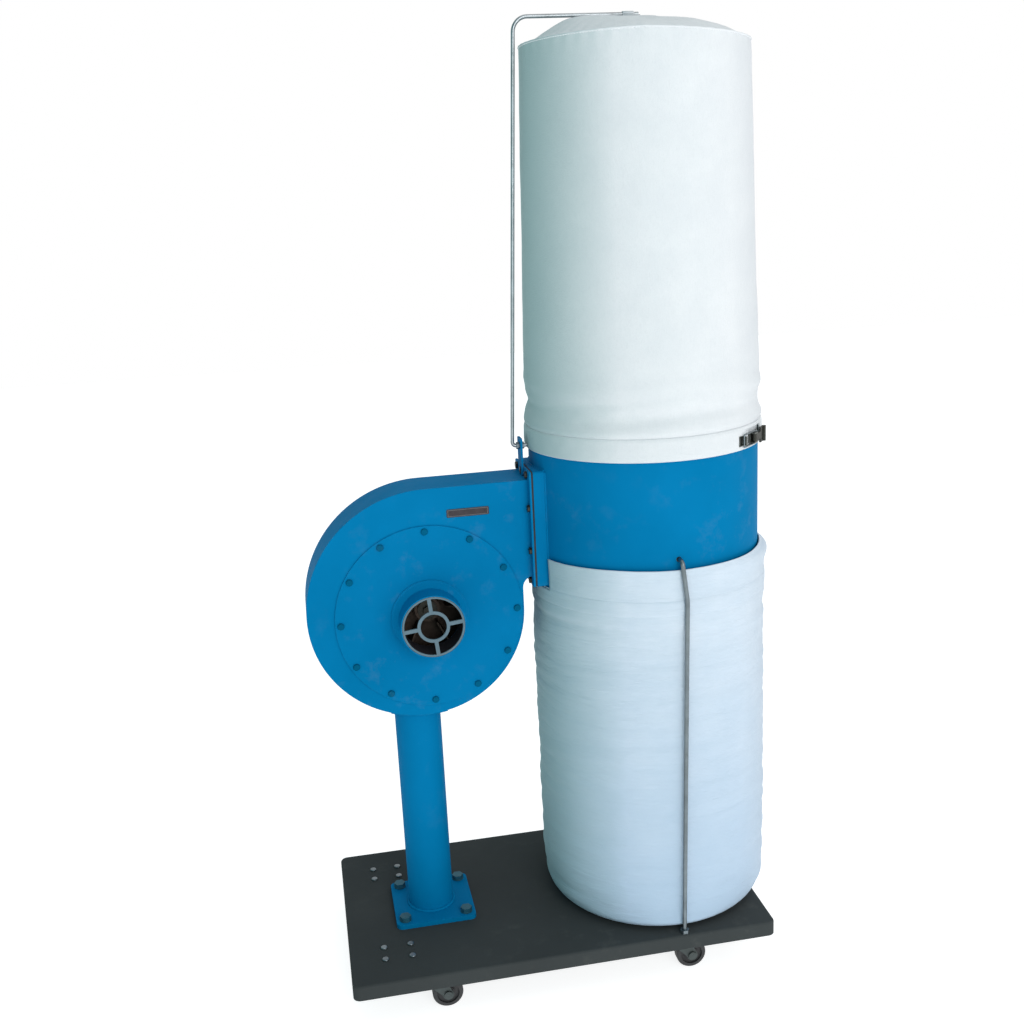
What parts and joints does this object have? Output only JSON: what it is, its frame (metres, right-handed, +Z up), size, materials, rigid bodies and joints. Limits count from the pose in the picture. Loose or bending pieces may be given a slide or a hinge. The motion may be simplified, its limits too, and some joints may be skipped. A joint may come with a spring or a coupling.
{
  "type": "dust collector",
  "caption": "Single-bag workshop dust collector: post-mounted radial blower on a castored base, sheet-metal collar, felt filter bag above and collection bag below.",
  "frame": {"origin": "floor point under the middle of the whole machine's bounding box", "axes": "+X from the blower towards the bags, +Y from the hose spigot towards the motor, +Z up"},
  "size_m": [0.761, 0.459, 1.517],
  "materials": {
    "blue_paint": "satin blue powder coat",
    "base_paint": "charcoal textured powder coat",
    "motor_paint": "satin black enamel",
    "bare_aluminium": "cast and brushed",
    "zinc": "bright zinc plate",
    "dark_steel": "dark oxide",
    "band_steel": "rolled spring steel",
    "filter_felt": "needle-felt polyester",
    "bag_cloth": "woven polyester",
    "gasket_rubber": "closed-cell rubber",
    "wheel_rubber": "moulded tread",
    "black_plastic": "moulded",
    "plate_foil": "blank printed plate",
    "green_plastic": "moulded",
    "red_plastic": "moulded",
    "copper": "varnished winding"
  },
  "bodies": {
    "machine": {"base_tray": "base_paint", "post_base_plate": "blue_paint", "post_tube": "blue_paint", "post_saddle": "blue_paint", "post_bolts": "zinc", "caster_mounts": "zinc", "caster_mount_bolts": "zinc", "scroll_front_plate": "blue_paint", "scroll_back_plate": "blue_paint", "scroll_band": "blue_paint", "outlet_flange": "blue_paint", "inlet_cover": "blue_paint", "cover_screws": "dark_steel", "name_plate": "plate_foil", "inlet_spigot": "blue_paint", "inlet_guard": "black_plastic", "stator": "copper", "motor_flange": "motor_paint", "motor_housing": "motor_paint", "motor_end_shield": "motor_paint", "motor_bearings": "zinc", "motor_bolts": "zinc", "fan_cowl": "motor_paint", "capacitor_cover": "black_plastic", "switch_box": "black_plastic", "switch_plate": "black_plastic", "cable_gland": "black_plastic", "collar_drum": "blue_paint", "collar_neck": "blue_paint", "outlet_gasket": "gasket_rubber", "flange_bolts": "dark_steel", "filter_bag": "filter_felt", "dust_bag": "bag_cloth", "upper_band": "band_steel", "lower_band": "band_steel", "support_rod_front": "zinc", "support_rod_rear": "zinc", "rod_nuts": "zinc", "hanger_bracket": "dark_steel", "hanger_rod": "zinc", "hanger_nuts": "zinc"},
    "rotor": {"motor_rotor": "dark_steel", "impeller": "bare_aluminium", "impeller_bolt": "zinc", "cooling_fan": "black_plastic"},
    "start_button": {"start_button": "green_plastic"},
    "stop_button": {"stop_button": "red_plastic"},
    "fork_front_left": {"fork_front_left": "zinc"},
    "wheel_front_left": {"wheel_front_left": "wheel_rubber"},
    "fork_rear_left": {"fork_rear_left": "zinc"},
    "wheel_rear_left": {"wheel_rear_left": "wheel_rubber"},
    "fork_front_right": {"fork_front_right": "zinc"},
    "wheel_front_right": {"wheel_front_right": "wheel_rubber"},
    "fork_rear_right": {"fork_rear_right": "zinc"},
    "wheel_rear_right": {"wheel_rear_right": "wheel_rubber"},
    "upper_lever": {"upper_lever": "dark_steel"},
    "upper_bail": {"upper_bail": "zinc"},
    "lower_lever": {"lower_lever": "dark_steel"},
    "lower_bail": {"lower_bail": "zinc"}
  },
  "joints": [
    {"name": "rotor_spin", "type": "hinge", "parent": "machine", "child": "rotor", "pos_m": [-0.1875, 0, 0.621], "axis": [0, 1, 0], "continuous": true},
    {"name": "swivel_front_left", "type": "hinge", "parent": "machine", "child": "fork_front_left", "pos_m": [-0.2365, -0.1935, 0.06], "axis": [0, 0, 1], "continuous": true},
    {"name": "roll_front_left", "type": "hinge", "parent": "fork_front_left", "child": "wheel_front_left", "pos_m": [-0.2125, -0.1935, 0.025], "axis": [0, 1, 0], "continuous": true},
    {"name": "swivel_rear_left", "type": "hinge", "parent": "machine", "child": "fork_rear_left", "pos_m": [-0.2365, 0.1365, 0.06], "axis": [0, 0, 1], "continuous": true},
    {"name": "roll_rear_left", "type": "hinge", "parent": "fork_rear_left", "child": "wheel_rear_left", "pos_m": [-0.2125, 0.1365, 0.025], "axis": [0, 1, 0], "continuous": true},
    {"name": "swivel_front_right", "type": "hinge", "parent": "machine", "child": "fork_front_right", "pos_m": [0.1735, -0.1935, 0.06], "axis": [0, 0, 1], "continuous": true},
    {"name": "roll_front_right", "type": "hinge", "parent": "fork_front_right", "child": "wheel_front_right", "pos_m": [0.1975, -0.1935, 0.025], "axis": [0, 1, 0], "continuous": true},
    {"name": "swivel_rear_right", "type": "hinge", "parent": "machine", "child": "fork_rear_right", "pos_m": [0.1735, 0.1365, 0.06], "axis": [0, 0, 1], "continuous": true},
    {"name": "roll_rear_right", "type": "hinge", "parent": "fork_rear_right", "child": "wheel_rear_right", "pos_m": [0.1975, 0.1365, 0.025], "axis": [0, 1, 0], "continuous": true},
    {"name": "upper_latch", "type": "hinge", "parent": "machine", "child": "upper_lever", "pos_m": [0.32006, -0.16454, 0.886], "axis": [0, 0, -1], "range_deg": [0, 150]},
    {"name": "upper_link", "type": "hinge", "parent": "upper_lever", "child": "upper_bail", "pos_m": [0.32656, -0.15684, 0.886], "axis": [0, 0, -1], "range_deg": [-150, 0]},
    {"name": "lower_latch", "type": "hinge", "parent": "machine", "child": "lower_lever", "pos_m": [0.28174, 0.1441, 0.643], "axis": [0, 0, -1], "range_deg": [0, 150]},
    {"name": "lower_link", "type": "hinge", "parent": "lower_lever", "child": "lower_bail", "pos_m": [0.27262, 0.14838, 0.643], "axis": [0, 0, -1], "range_deg": [-150, 0]},
    {"name": "start_press", "type": "slide", "parent": "machine", "child": "start_button", "axis": [1, 0, 0], "range_m": [0, 0.003], "stiffness_N_per_m": 400},
    {"name": "stop_press", "type": "slide", "parent": "machine", "child": "stop_button", "axis": [1, 0, 0], "range_m": [0, 0.003], "stiffness_N_per_m": 400}
  ],
  "couplings": [
    {"joint": "upper_link", "follows": "upper_latch", "ratio": -1},
    {"joint": "lower_link", "follows": "lower_latch", "ratio": -1}
  ]
}
